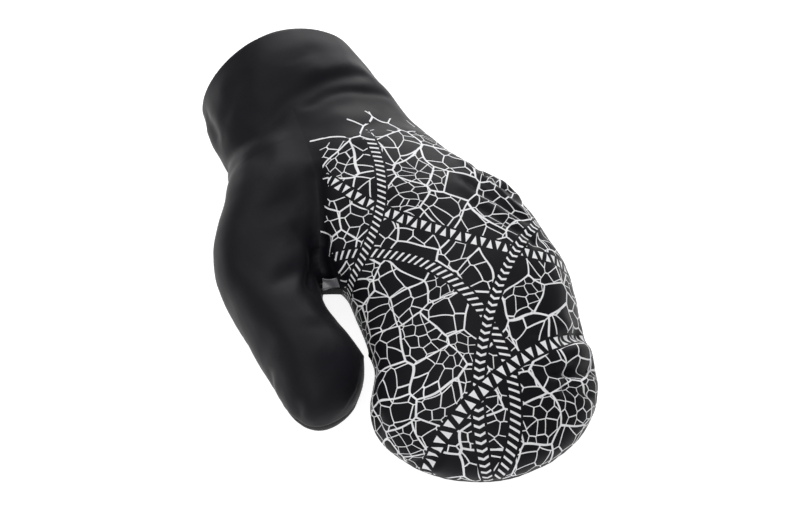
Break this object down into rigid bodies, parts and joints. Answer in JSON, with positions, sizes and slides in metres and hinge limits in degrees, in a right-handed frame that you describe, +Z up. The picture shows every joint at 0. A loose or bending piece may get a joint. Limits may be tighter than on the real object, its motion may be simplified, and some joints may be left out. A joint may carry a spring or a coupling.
{
  "type": "cycling mitten",
  "caption": "Padded left-hand cycling mitten with a plain cuff and thumb and a line print over the back of the hand, open at the wrist.",
  "frame": {"origin": "under the middle of the mitten, on the plane that the palm rests on", "axes": "+Z up out of the back of the hand, the cuff opens towards +Y and the fingers point to -Y, the thumb lies on the -X side"},
  "size_m": [0.1606, 0.2566, 0.0672],
  "materials": {
    "black_shell": "matte stretch softshell with a soft sheen",
    "printed_shell": "the same softshell with a pale line print",
    "black_palm": "dull brushed synthetic suede",
    "black_web": "dull woven binding",
    "grey_satin": "soft grey satin"
  },
  "bodies": {
    "root": {"cuff": "black_shell", "back_panel": "printed_shell", "palm_panel": "black_palm", "thumb_back": "black_shell", "thumb_palm": "black_palm", "crotch_band": "black_web", "crotch_insert": "grey_satin"}
  },
  "joints": []
}
